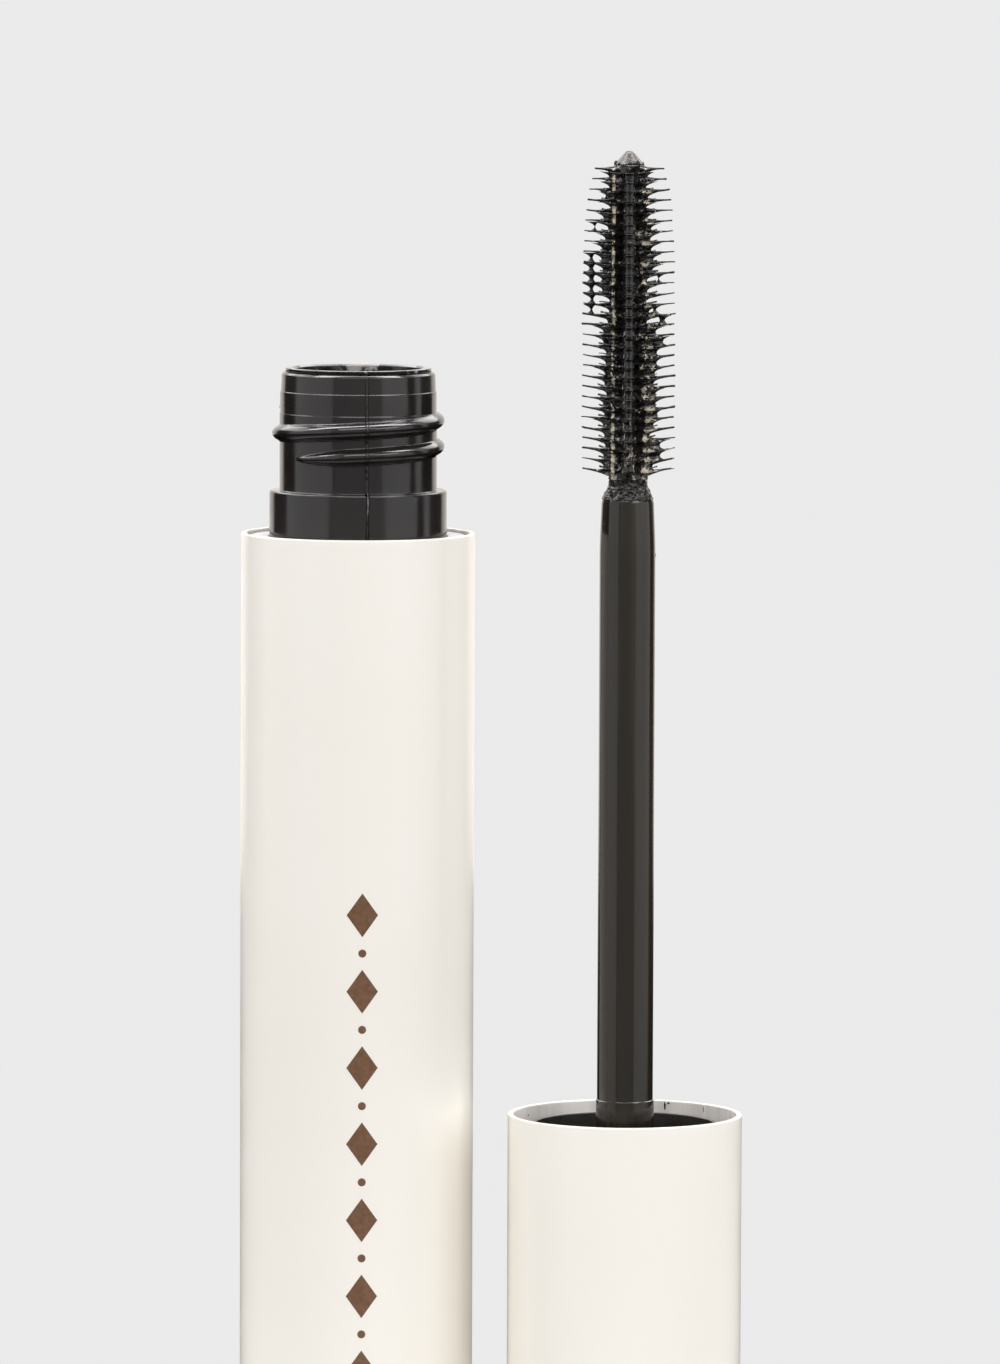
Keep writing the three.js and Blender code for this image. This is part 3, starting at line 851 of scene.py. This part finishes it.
def make_stem():
    """From the barbed plug in the core's socket, past the collar in the mouth, to the tapered shoulder."""
    barb, barb_radius, socket_radius, socket_depth = 1.3, 2.15, 1.05, 7.5
    floor = LINER_BOTTOM - GAP
    barb_top = STEM_BOTTOM + barb
    root_top = CAP_TOP + STEM_ROOT_ABOVE_RIM
    corners = [
        (0, STEM_BOTTOM),
        (PLUG_RADIUS, STEM_BOTTOM, 0.2),
        (barb_radius, barb_top, 0.1),
        (PLUG_RADIUS, barb_top, 0.1),
        (PLUG_RADIUS, floor + GAP, 0.1),
        (STEM_ROOT_RADIUS, floor + GAP, 0.1),
        (STEM_ROOT_RADIUS, root_top, 0.03),
        (STEM_RADIUS, root_top + 0.06, 0.03),
        (STEM_RADIUS, STEM_TOP - STEM_TAPER, 1.2),
        (STEM_NECK_RADIUS, STEM_TOP - 0.75, 0.25),
        (STEM_SHOULDER_RADIUS, STEM_TOP, 0.2),
        (socket_radius, STEM_TOP, 0.1),
        (socket_radius, STEM_TOP - socket_depth, 0.1),
        (0, STEM_TOP - socket_depth),
    ]
    turned("stem", corners, CAP_AXIS, SATIN_BLACK, "applicator", ["wand_stem"], SLIM_STEPS)


def make_brush_core():
    """Pin and shank of the brush, with its bare conical tip."""
    corners = [
        (0, PIN_BOTTOM),
        (PIN_RADIUS, PIN_BOTTOM, 0.15),
        (PIN_RADIUS, STEM_TOP + GAP, 0.1),
        (SHANK_RADIUS, STEM_TOP + GAP, 0.15),
        (SHANK_RADIUS - 0.04, BRUSH_BOTTOM - GAP, 0.1),
        (PIN_RADIUS, BRUSH_BOTTOM - GAP, 0.05),
        (PIN_RADIUS, BRUSH_TOP + GAP, 0.05),
        (TIP_FOOT, BRUSH_TOP + GAP, 0.03),
        (TIP_BASE, BRUSH_TIP - TIP_CONE, 0.03),
        (TIP_SHOULDER, BRUSH_TIP - 0.2, 0.16),
        (TIP_END, BRUSH_TIP, 0.09),
        (0, BRUSH_TIP),
    ]
    pin = turned("brush_pin", corners, CAP_AXIS, BRISTLE, "applicator", ["brush_core"], SLIM_STEPS)
    repaint(pin, TIP, CAP_AXIS, lambda r, z: z > BRUSH_TIP - TIP_CONE * 1.25)


def row_height(row):
    return CAP_TOP + LOWEST_ROW + ROW_PITCH * row


def row_reach(row):
    return REACH - REACH_LESS * math.exp(-(ROWS - 1 - row) / REACH_FADE)


def body_radius(height):
    share = (height - BRUSH_BOTTOM) / (BRUSH_TOP - BRUSH_BOTTOM)
    return BODY_BOTTOM_RADIUS + (BODY_TOP_RADIUS - BODY_BOTTOM_RADIUS) * share


def column_angle(column):
    return 2 * math.pi * column / COLUMNS


def bristle_mesh(row, column, reach, draw, rings=12, sides=10):
    """One spike with a concave, flared root, pointing up a little and slightly bent at its end."""
    angle = column_angle(column)
    height = row_height(row)
    base = body_radius(height) - 0.25
    length = reach - base
    tilt = LOW_TILT + (HIGH_TILT - LOW_TILT) * row / (ROWS - 1) + draw.uniform(-1.4, 1.4)
    climb = length * math.tan(math.radians(tilt))
    bend, sway = draw.uniform(-0.12, 0.12), draw.uniform(-0.12, 0.12)
    root = BRISTLE_ROOT * draw.uniform(0.9, 1.1)
    tip = BRISTLE_TIP * draw.uniform(0.7, 1.5)
    bead = draw.choice((0, 0, 0, 0, 0.02, 0.035))
    out, side = outward(angle), sideways(angle)
    foot = Vector((*CAP_AXIS, height + TIP_LIFT - climb))
    vertices = []
    for i in range(rings):
        t = i / (rings - 1)
        thick = tip + (root - tip) * (1 - t) ** BRISTLE_FLARE + bead * smoothstep(t, 0.84, 0.96)
        centre = foot + out * (base + length * t) + side * sway * t * t
        centre.z += climb * t + bend * t * t * (1 - t) * 3
        for j in range(sides):
            turn = 2 * math.pi * j / sides
            wobble = 1 + 0.22 * noise.noise(Vector((i * 0.9, j * 0.7, height * 5 + angle)))
            round_it = side * math.cos(turn) * 0.8 + Vector((0, 0, math.sin(turn)))
            vertices.append(centre + round_it * thick * wobble)
    vertices.append(centre + out * tip * 0.8)
    faces = tube_faces(rings, sides, pointed=True)
    last = (rings - 1) * sides
    faces += [[last + j, last + (j + 1) % sides, len(vertices) - 1] for j in range(sides)]
    return [tuple(v) for v in vertices], faces


def make_bristles():
    """The brush's caked body and its rows of bristles, the odd columns a little shorter."""
    draw = random.Random(11)
    bore = 1.02
    corners = [
        (bore, BRUSH_BOTTOM, 0.05),
        (BODY_BOTTOM_RADIUS, BRUSH_BOTTOM, 0.12),
        *[(body_radius(z), z) for z in between(BRUSH_BOTTOM + 0.5, BRUSH_TOP - 0.5, 0.3)],
        (BODY_TOP_RADIUS, BRUSH_TOP, 0.1),
        (bore, BRUSH_TOP, 0.05),
    ]

    def caked(angle, radius, height):
        if radius < bore + 0.08:
            return radius, height
        return radius + 0.24 * noise.noise(noise_place(angle, height * 1.4) * 2.6) + 0.06, height

    parts = [lathe_mesh(rounded(corners), CAP_AXIS, SLIM_STEPS, caked)]
    for row in range(ROWS):
        for column in range(COLUMNS):
            reach = row_reach(row) * draw.uniform(0.965, 1.0) * (ODD_COLUMN_REACH if column % 2 else 1)
            parts.append(bristle_mesh(row, column, reach, draw))
    add_piece("bristles", merged(parts), BRISTLE, "applicator", ["bristle_sleeve"])


# Paste caught between neighbouring bristles: how far its edge reaches in the middle of a gap, by column as
# (first gap, last gap, reach). WEB_REACH holds elsewhere.
WEB_REACH = 1.75
WEBS = {
    4: (
        (0, 13, 1.85), (14, 16, 1.35), (17, 17, 1.95), (18, 20, 2.2),
        (21, 22, 2.05), (23, 23, 1.65), (24, 24, 1.95), (25, 28, 1.55),
    ),
    0: (
        (0, 0, 1.9), (1, 2, 2.45), (3, 4, 1.85), (5, 11, 2.15), (12, 12, 2.7),
        (13, 13, 2.3), (14, 18, 1.45), (19, 23, 1.8), (24, 28, 1.35),
    ),
    7: ((0, 10, 2.1),),
    5: ((14, 24, 2.1),),
    3: ((14, 24, 2.1),),
    6: ((0, 27, 3.1),),
}
# Strands of paste across a gap: (column, gap, reach, thickness in the middle).
STRANDS = (
    (4, 15, 3.1, 0.08), (4, 16, 3.05, 0.11), (4, 17, 3.1, 0.12), (4, 18, 3.1, 0.17),
    (4, 19, 3.12, 0.16), (4, 20, 3.12, 0.11), (4, 23, 2.85, 0.03), (4, 26, 1.95, 0.05),
    (0, 18, 2.5, 0.04), (0, 15, 2.2, 0.12), (0, 14, 2.8, 0.2),
    (5, 9, 2.7, 0.08), (2, 12, 2.8, 0.09), (3, 6, 2.7, 0.08),
)
# Half thickness of the paste's outer edge: the front three columns are caked into upright ridges.
FRONT_COLUMN = 6
RIDGES = {FRONT_COLUMN: 0.2, FRONT_COLUMN - 1: 0.16, FRONT_COLUMN + 1: 0.16}
THIN_EDGE = 0.04
EDGE_CLIMB, FRONT_EDGE_CLIMB = 0.75, 0.05  # how far the edge climbs the bristles at each end of the gap


def web_reach(column, gap):
    for first, last, reach in WEBS.get(column, ()):
        if first <= gap <= last:
            return reach
    return WEB_REACH


def web_mesh(column, gap, draw, across=9, outwards=6):
    """Paste that fills the roots between two bristles of a column, with a rounded outer edge."""
    angle = column_angle(column)
    out, side = outward(angle), sideways(angle)
    floor = web_reach(column, gap) + draw.uniform(-0.16, 0.16)
    rim = RIDGES.get(column, THIN_EDGE)
    climb = FRONT_EDGE_CLIMB if column == FRONT_COLUMN else EDGE_CLIMB
    lean = draw.uniform(-0.25, 0.25) * climb
    base = body_radius(row_height(gap)) - 0.2
    out_and_back = [(j, -1) for j in range(outwards + 1)] + [(j, 1) for j in reversed(range(outwards + 1))]
    vertices = []
    for i in range(across + 1):
        s = i / across
        height = row_height(gap) + ROW_PITCH * s + 0.02
        edge = floor + (climb + lean * (2 * s - 1)) * abs(2 * s - 1) ** 2.6
        for j, sign in out_and_back:
            t = j / outwards
            reach = base + (edge - base) * t
            crumb = noise.noise(Vector((column * 7.3 + s * 3, gap * 3.1, t * 3)))
            thick = rim + 0.46 * (1 - t) ** 0.8 * (1 + 0.6 * crumb)
            lift = TIP_LIFT * (reach - base) / (REACH - base) - 0.1
            vertices.append(tuple(Vector((*CAP_AXIS, height + lift)) + out * reach + side * sign * thick))
    return vertices, tube_faces(across + 1, len(out_and_back))


def strand_mesh(column, gap, reach, thin, rings=9, sides=8):
    """A drawn-out strand of paste across a gap, thick where it hangs on the bristles."""
    angle = column_angle(column)
    out, side = outward(angle), sideways(angle)
    vertices = []
    for i in range(rings):
        s = i / (rings - 1)
        thick = thin + 0.07 * abs(2 * s - 1) ** 2.4
        flare = thin + 0.45 * abs(2 * s - 1) ** 1.9
        centre = Vector((*CAP_AXIS, row_height(gap) + TIP_LIFT * 0.6 + ROW_PITCH * s))
        centre += out * (reach - 0.14 * math.sin(math.pi * s))
        for j in range(sides):
            turn = 2 * math.pi * j / sides
            vertices.append(centre + out * math.cos(turn) * flare + side * math.sin(turn) * thick)
    return [tuple(v) for v in vertices], tube_faces(rings, sides)


def make_webs():
    """Webs in every gap and the strands, as one piece."""
    draw = random.Random(5)
    parts = [web_mesh(column, gap, draw) for column in range(COLUMNS) for gap in range(ROWS - 1)]
    parts += [strand_mesh(*strand) for strand in STRANDS]
    add_piece("paste_webs", merged(parts), BRISTLE, "applicator")


# Crumbs of paste on the stem: (degrees, height, distance from the axis, size).
STEM_CRUMBS = ((2, 88.6, STEM_RADIUS - 0.08, 0.14), (120, 90.3, 2.15, 0.12), (-150, 91.1, 2.1, 0.1))
TIP_CRUMBS = 22


def make_stem_residue():
    """Paste scraped up against the stem's shoulder, and crumbs on the stem and round the brush's tip."""
    draw = random.Random(23)
    corners = [
        (SHANK_RADIUS - 0.15, STEM_TOP + 0.12),
        (STEM_SHOULDER_RADIUS - 0.2, STEM_TOP - 0.25),
        (STEM_NECK_RADIUS - 0.12, STEM_TOP - 0.75, 0.1),
        (STEM_NECK_RADIUS - 0.02, STEM_TOP - 0.62, 0.08),
        (STEM_SHOULDER_RADIUS + 0.13, STEM_TOP - 0.02, 0.25),
        (SHANK_RADIUS + 0.04, STEM_TOP + 0.45, 0.3),
        (SHANK_RADIUS + 0.02, STEM_TOP + 0.95, 0.1),
        (SHANK_RADIUS - 0.15, STEM_TOP + 1.02),
    ]

    def ragged(angle, radius, height):
        place = noise_place(angle, height * 0.9)
        return radius + 0.1 * noise.noise(place * 5.3), height + 0.12 * noise.noise(place * 2.3)

    parts = [lathe_mesh(rounded(corners), CAP_AXIS, SLIM_STEPS, ragged)]
    crumbs = list(STEM_CRUMBS)
    for _ in range(TIP_CRUMBS):
        degrees, drop, size = draw.uniform(-180, 180), draw.uniform(0.95, 1.7), draw.uniform(0.1, 0.2)
        crumbs.append((degrees, BRUSH_TIP - drop, TIP_BASE - 0.04, size))
    for i, (degrees, height, reach, size) in enumerate(crumbs):
        centre = off_cap_axis(degrees, reach, height)
        parts.append(lump_mesh(centre, (size, size, size * 1.4), i * 0.7, rough=0.5))
    add_piece("shoulder_residue", merged(parts), PASTE, "applicator")


# ---- Carried-over CAD nodes ----


def finish_nodes():
    """Materials for the CAD pieces that are out of sight and keep their own shape."""
    for node, made in (("base_label", PAPER), ("vial_seat", PALE), ("cap_weight", STEEL)):
        mesh = bpy.data.objects[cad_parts[node].name].data
        mesh.materials.clear()
        mesh.materials.append(made)


# ---- Studio ----

BACKDROP = 0.828  # linear, the pale grey that fills the picture
FLOOR_GREY, FLOOR_RADIUS, FLOOR_DROP = 0.52, 4.0, 0.0001  # radius and drop in metres
FLOOR_LIT_RADIUS, FLOOR_PLAIN_RADIUS = 0.06, 0.145  # metres: lit near the mascara, plain grey further off
AMBIENT, MIRRORED = 0.4, 0.06  # the room's grey on matt surfaces and in gloss


def mixed(tree, factor, first, second):
    """A Mix Shader: first where the factor is 0, second where it is 1."""
    mix = tree.nodes.new("ShaderNodeMixShader")
    tree.links.new(factor, mix.inputs["Fac"])
    tree.links.new(first, mix.inputs[1])
    tree.links.new(second, mix.inputs[2])
    return mix.outputs["Shader"]


def floor_material():
    made = bpy.data.materials.new("studio_floor")
    made.use_nodes = True
    tree = made.node_tree
    shader_inputs(made)["Base Color"].default_value = (FLOOR_GREY, FLOOR_GREY, FLOOR_GREY, 1)
    shader_inputs(made)["Roughness"].default_value = 0.7
    path = tree.nodes.new("ShaderNodeLightPath")
    glow = tree.nodes.new("ShaderNodeEmission")
    glow.inputs["Color"].default_value = (BACKDROP, BACKDROP, BACKDROP, 1)
    tree.links.new(path.outputs["Is Camera Ray"], glow.inputs["Strength"])
    away = tree.nodes.new("ShaderNodeVectorMath")
    away.operation = "LENGTH"
    tree.links.new(object_place(made), away.inputs[0])
    fade = map_range(made, away.outputs["Value"], FLOOR_LIT_RADIUS, FLOOR_PLAIN_RADIUS, 0, 1)
    fade.node.interpolation_type = "SMOOTHSTEP"
    lit = tree.nodes["Principled BSDF"].outputs["BSDF"]
    surface = mixed(tree, fade, lit, glow.outputs["Emission"])
    tree.links.new(surface, tree.nodes["Material Output"].inputs["Surface"])
    return made


def make_floor():
    """A pale floor, lit near the mascara and fading into the backdrop's grey, which only the camera sees."""
    middle = (0, 0, -FLOOR_DROP)
    bpy.ops.mesh.primitive_circle_add(vertices=96, radius=FLOOR_RADIUS, fill_type="NGON", location=middle)
    floor = bpy.context.object
    floor.name = "studio_floor"
    floor.data.materials.append(floor_material())


def make_world():
    """The camera sees the backdrop's grey, matt surfaces get a soft light, and gloss mirrors a dim room."""
    world = bpy.data.worlds.new("studio")
    bpy.context.scene.world = world
    world.use_nodes = True
    tree = world.node_tree
    tree.nodes.remove(tree.nodes["Background"])
    greys = []
    for level in (AMBIENT, MIRRORED, BACKDROP):
        background = tree.nodes.new("ShaderNodeBackground")
        background.inputs["Color"].default_value = (level, level, level, 1)
        greys.append(background.outputs["Background"])
    on_matt, in_gloss, seen = greys
    path = tree.nodes.new("ShaderNodeLightPath")
    unseen = mixed(tree, path.outputs["Is Glossy Ray"], on_matt, in_gloss)
    surface = mixed(tree, path.outputs["Is Camera Ray"], unseen, seen)
    tree.links.new(surface, tree.nodes["World Output"].inputs["Surface"])


# Lights stand round a point LIGHTS_MIDDLE millimetres along X. Distances from it and heights are in metres.
LIGHTS_MIDDLE = 10
SOFTBOX_DISTANCE, SOFTBOX_HEIGHT = 0.6, 0.30
SMALL_DISTANCE, SMALL_HEIGHT = 0.75, 0.08
# Each is (name, degrees round from the front towards +X, degrees up, width and height in metres, radiance).
# Softboxes are large and seen in gloss only. They shape the black pieces and the edges of the lacquer.
SOFTBOXES = (
    ("left", -71, 0, (0.80, 1.3), 0.95),
    ("right", 71, 0, (0.86, 1.3), 1.05),
    ("front", 0, 0, (0.84, 1.3), 0.42),
    ("back", 180, 0, (0.98, 1.3), 1.15),
)
WARM = (1.0, 0.93, 0.87)  # tint of the back softbox
# Glints are seen in gloss only too, as thin lines along rims and edges.
GLINTS = (
    ("top_glint", 180, 85, (1.3, 0.2), 14.0),
    ("rear_glint", 180, 42, (1.5, 0.4), 3.0),
)
# Keys are seen in gloss and light the lacquer.
KEYS = (
    ("key", -8, 52, (0.5, 0.4), 3.7),
    ("right_key", 40, 36, (0.4, 0.3), 3.4),
    ("right_high", 110, 38, (0.5, 0.4), 0.8),
    ("left_high", -106, 38, (0.5, 0.4), 3.0),
)
# Fills light the lacquer without showing in gloss.
FILLS = (
    ("left_fill", -52, 4, (0.5, 0.5), 2.8),
    ("right_fill", 56, 10, (0.5, 0.5), 2.5),
    ("left_rear_fill", -126, 8, (0.4, 0.5), 2.6),
    ("right_rear_fill", 130, 8, (0.4, 0.5), 5.4),
)


def add_lights(lights, distance, height, in_gloss, on_matt):
    """Area lights that face the point they stand round; the flags say which surfaces they reach."""
    for name, azimuth, elevation, size, radiance in lights:
        turn, rise = math.radians(azimuth), math.radians(elevation)
        level = math.cos(rise)
        out = Vector((math.sin(turn) * level, -math.cos(turn) * level, math.sin(rise)))
        data = bpy.data.lights.new(name, "AREA")
        data.color = WARM if name == "back" else (1, 1, 1)
        data.shape = "RECTANGLE"
        data.size, data.size_y = size
        data.energy = radiance * math.pi * size[0] * size[1]
        light = bpy.data.objects.new(name, data)
        place = out * distance + Vector((LIGHTS_MIDDLE * MM, 0, height))
        light.matrix_world = Matrix.Translation(place) @ (-out).to_track_quat("-Z", "Y").to_matrix().to_4x4()
        light.visible_camera = False
        light.visible_glossy = in_gloss
        light.visible_diffuse = on_matt
        bpy.context.scene.collection.objects.link(light)


add_camera()
make_sleeve()
make_ornament()
make_vial()
make_parting_lines()
make_shoulder_ring()
make_wiper()
make_fill()
make_cap_shell()
make_cap_core()
make_liner()
make_stem()
make_brush_core()
make_bristles()
make_webs()
make_stem_residue()
finish_nodes()
make_floor()
make_world()
add_lights(SOFTBOXES, SOFTBOX_DISTANCE, SOFTBOX_HEIGHT, in_gloss=True, on_matt=False)
add_lights(GLINTS, SMALL_DISTANCE, SMALL_HEIGHT, in_gloss=True, on_matt=False)
add_lights(KEYS, SMALL_DISTANCE, SMALL_HEIGHT, in_gloss=True, on_matt=True)
add_lights(FILLS, SMALL_DISTANCE, SMALL_HEIGHT, in_gloss=False, on_matt=True)
bpy.context.scene.view_settings.view_transform = "Standard"
